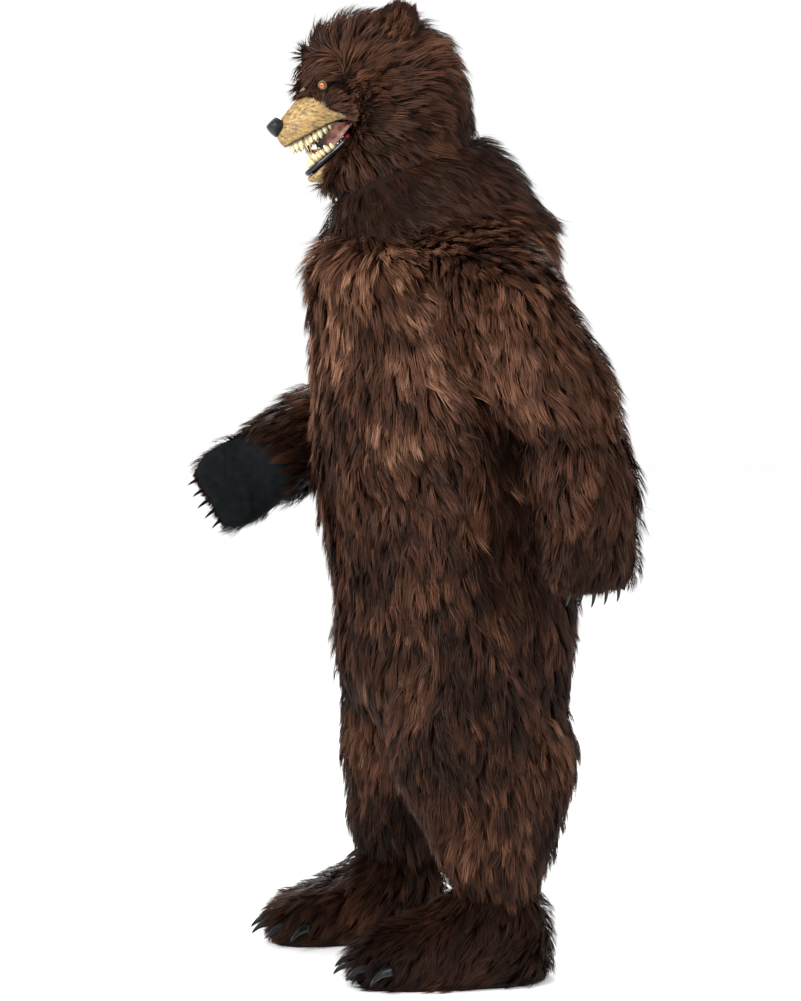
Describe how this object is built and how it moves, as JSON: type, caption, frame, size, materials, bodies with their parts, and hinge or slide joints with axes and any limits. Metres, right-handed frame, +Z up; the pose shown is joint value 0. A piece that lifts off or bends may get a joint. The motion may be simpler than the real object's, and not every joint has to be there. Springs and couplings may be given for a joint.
{
  "type": "bear costume",
  "caption": "Full-body brown fur bear costume as worn, with hooded mask, open mouth with teeth, clawed mitts and clawed boot covers.",
  "frame": {"origin": "where the costume hangs from the wearer's shoulders, on the centre plane, 1.425 m above the floor that the soles stand on", "axes": "+Z up, the bear faces -Y, +X to the bear's left"},
  "size_m": [0.9742, 0.7032, 1.8623],
  "materials": {
    "fur": "long dark brown pile",
    "latex": "painted tan, satin",
    "black": "smooth black, satin",
    "claw": "gloss black",
    "ivory": "cream, semi-gloss",
    "amber": "clear gloss over amber",
    "zip": "woven tape"
  },
  "bodies": {
    "root": {"back_zip": "zip", "body_back_left": "fur", "body_back_right": "fur", "body_front_left": "fur", "body_front_right": "fur", "boot_left": "fur", "boot_right": "fur", "ear_left": "fur", "ear_right": "fur", "eye_left": "amber", "eye_right": "amber", "foot_claw_left_1": "claw", "foot_claw_left_2": "claw", "foot_claw_left_3": "claw", "foot_claw_left_4": "claw", "foot_claw_left_5": "claw", "foot_claw_right_1": "claw", "foot_claw_right_2": "claw", "foot_claw_right_3": "claw", "foot_claw_right_4": "claw", "foot_claw_right_5": "claw", "hand_claw_left_1": "claw", "hand_claw_left_2": "claw", "hand_claw_left_3": "claw", "hand_claw_left_4": "claw", "hand_claw_left_5": "claw", "hand_claw_right_1": "claw", "hand_claw_right_2": "claw", "hand_claw_right_3": "claw", "hand_claw_right_4": "claw", "hand_claw_right_5": "claw", "hood_left": "fur", "hood_right": "fur", "lower_lip": "black", "mitt_back_left": "fur", "mitt_back_right": "fur", "muzzle_lower": "latex", "muzzle_upper": "latex", "neck_cowl": "fur", "nose": "black", "palm_left": "black", "palm_right": "black", "sleeve_left": "fur", "sleeve_right": "fur", "sole_left": "black", "sole_right": "black", "teeth_lower": "ivory", "teeth_upper": "ivory"}
  },
  "joints": []
}
